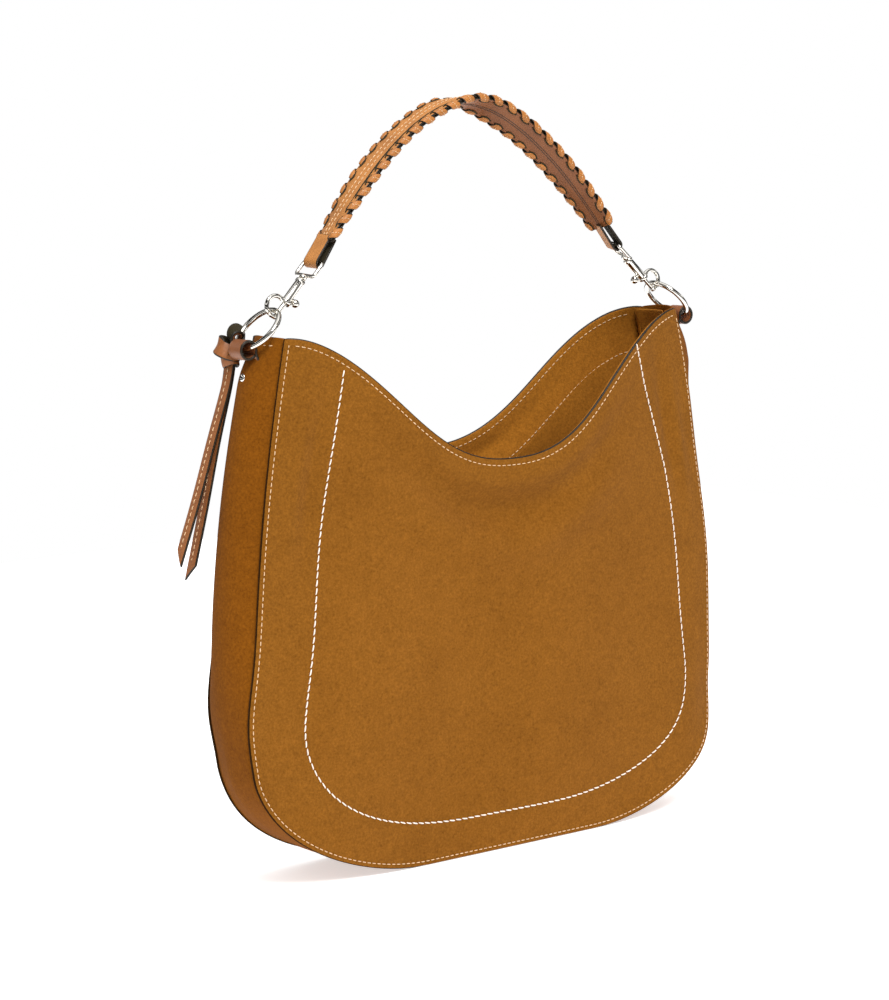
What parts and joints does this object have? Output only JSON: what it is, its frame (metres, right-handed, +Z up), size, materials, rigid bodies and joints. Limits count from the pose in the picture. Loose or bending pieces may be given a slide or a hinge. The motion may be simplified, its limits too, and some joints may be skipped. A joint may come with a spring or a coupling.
{
  "type": "hobo bag",
  "caption": "Soft slouchy hobo bag with a dipped open mouth, laced arch handle on swivel bolt snaps and O-rings, and a knotted tassel.",
  "frame": {"origin": "centre of the base's underside", "axes": "+Z up, -Y towards the front, +X towards the right side seen from the front"},
  "size_m": [0.4452, 0.101, 0.5303],
  "materials": {
    "suede": "tan suede, matt",
    "gusset_suede": "tan suede, matt, a little darker",
    "tab_leather": "smooth brown leather",
    "strap_leather": "tan leather with a fine pebble grain",
    "lace_leather": "tan leather lace with dark edges",
    "dark_leather": "smooth brown leather",
    "tassel_leather": "tan leather",
    "core": "undyed leather",
    "lining": "brown woven lining",
    "board": "matt board",
    "chrome": "polished",
    "spring_steel": "drawn wire"
  },
  "bodies": {
    "bag": {"front_panel": "suede", "back_panel": "suede", "gusset": "gusset_suede", "front_facing": "suede", "back_facing": "suede", "gusset_facing_left": "suede", "gusset_facing_right": "suede", "lining": "lining", "base_stiffener": "board", "ring_tab_left": "tab_leather", "ring_tab_right": "tab_leather", "tab_rivets": "chrome", "rivet_washers": "chrome"},
    "ring_left": {"o_ring_left": "chrome"},
    "ring_right": {"o_ring_right": "chrome"},
    "handle": {"handle_face": "strap_leather", "handle_core": "core", "handle_underside": "dark_leather", "handle_lace_front": "lace_leather", "handle_lace_back": "lace_leather", "handle_tab_left": "strap_leather", "handle_tab_right": "strap_leather", "swivel_eye_left": "chrome", "swivel_eye_right": "chrome"},
    "hook_left": {"snap_body_left": "chrome", "bolt_spring_left": "spring_steel"},
    "hook_right": {"snap_body_right": "chrome", "bolt_spring_right": "spring_steel"},
    "bolt_left": {"snap_bolt_left": "chrome", "thumb_stud_left": "chrome"},
    "bolt_right": {"snap_bolt_right": "chrome", "thumb_stud_right": "chrome"},
    "tassel": {"tassel_knot": "tassel_leather", "tassel_tail_outer": "tassel_leather", "tassel_tail_inner": "tassel_leather"}
  },
  "joints": [
    {"name": "ring_left_spin", "type": "hinge", "parent": "bag", "child": "ring_left", "pos_m": [-0.17957, 0, 0.37623], "axis": [-0.7071, 0, 0.7071], "continuous": true},
    {"name": "ring_right_spin", "type": "hinge", "parent": "bag", "child": "ring_right", "pos_m": [0.17957, 0, 0.37623], "axis": [0.7071, 0, 0.7071], "continuous": true},
    {"name": "handle_swing", "type": "hinge", "parent": "bag", "child": "handle", "pos_m": [0, 0, 0.3842], "axis": [1, 0, 0], "range_deg": [-42, 48]},
    {"name": "hook_left_swivel", "type": "hinge", "parent": "handle", "child": "hook_left", "pos_m": [-0.14287, 0.00161, 0.40721], "axis": [0.7071, 0.0493, 0.7054], "range_deg": [-10, 10]},
    {"name": "hook_right_swivel", "type": "hinge", "parent": "handle", "child": "hook_right", "pos_m": [0.14287, 0.00161, 0.40721], "axis": [-0.7071, 0.0493, 0.7054], "range_deg": [-10, 10]},
    {"name": "bolt_left_pull", "type": "slide", "parent": "hook_left", "child": "bolt_left", "axis": [0.7071, 0.0493, 0.7054], "range_m": [0, 0.005], "stiffness_N_per_m": 300, "springref_m": -0.004, "deforming": ["bolt_spring_left"]},
    {"name": "bolt_right_pull", "type": "slide", "parent": "hook_right", "child": "bolt_right", "axis": [-0.7071, 0.0493, 0.7054], "range_m": [0, 0.005], "stiffness_N_per_m": 300, "springref_m": -0.004, "deforming": ["bolt_spring_right"]},
    {"name": "tassel_swing", "type": "hinge", "parent": "bag", "child": "tassel", "pos_m": [-0.18697, 0.0134, 0.36883], "axis": [0.5572, 0.6157, 0.5572], "range_deg": [-3, 80]}
  ]
}
